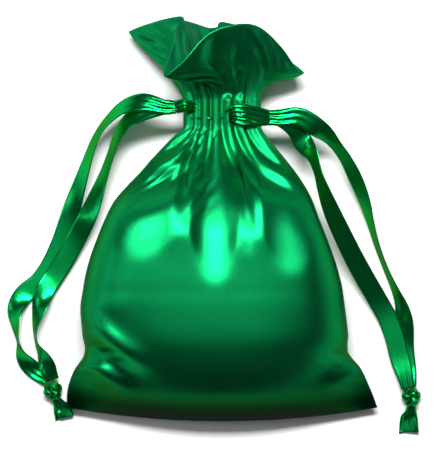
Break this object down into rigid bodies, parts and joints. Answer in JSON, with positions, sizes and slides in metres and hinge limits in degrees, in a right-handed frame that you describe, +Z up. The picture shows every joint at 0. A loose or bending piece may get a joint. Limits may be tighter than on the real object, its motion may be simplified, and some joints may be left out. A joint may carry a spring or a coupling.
{
  "type": "drawstring gift sack",
  "caption": "Small satin gift sack lying on its back, its neck drawn in by two ribbon drawstrings knotted at their ends.",
  "frame": {"origin": "on the surface that the sack lies on, under the middle of the sack without its free ribbons", "axes": "+Y from the bottom seam towards the mouth, +X to the right seen from above, +Z up from the surface"},
  "size_m": [0.1361, 0.1358, 0.0351],
  "materials": {
    "satin": "glossy bridal satin",
    "satin_lining": "duller wrong side of the satin",
    "seam": "raw cut seam allowance",
    "thread": "polyester sewing thread",
    "ribbon": "satin ribbon with woven edges"
  },
  "bodies": {
    "sack": {"front_panel": "satin", "back_panel": "satin", "front_facing": "satin_lining", "back_facing": "satin_lining", "left_side_seam": "seam", "right_side_seam": "seam", "bottom_seam": "seam", "front_upper_stitches": "thread", "front_lower_stitches": "thread", "back_upper_stitches": "thread", "back_lower_stitches": "thread", "left_ribbon_loop": "ribbon", "right_ribbon_loop": "ribbon"},
    "frill": {"front_frill": "satin", "back_frill": "satin"},
    "left_drawstring": {"left_outer_root": "ribbon", "left_inner_root": "ribbon", "left_outer_strand": "ribbon", "left_inner_strand": "ribbon", "left_knot": "ribbon", "left_ribbon_ends": "ribbon"},
    "right_drawstring": {"right_outer_root": "ribbon", "right_inner_root": "ribbon", "right_outer_strand": "ribbon", "right_inner_strand": "ribbon", "right_knot": "ribbon", "right_ribbon_ends": "ribbon"}
  },
  "joints": [
    {"name": "frill_lift", "type": "hinge", "parent": "sack", "child": "frill", "pos_m": [0, 0.0397, 0.0195], "axis": [1, 0, 0], "range_deg": [0, 35]},
    {"name": "left_pull", "type": "slide", "parent": "sack", "child": "left_drawstring", "axis": [-1, 0, 0], "range_m": [0, 0.01]},
    {"name": "right_pull", "type": "slide", "parent": "sack", "child": "right_drawstring", "axis": [1, 0, 0], "range_m": [0, 0.01]}
  ]
}
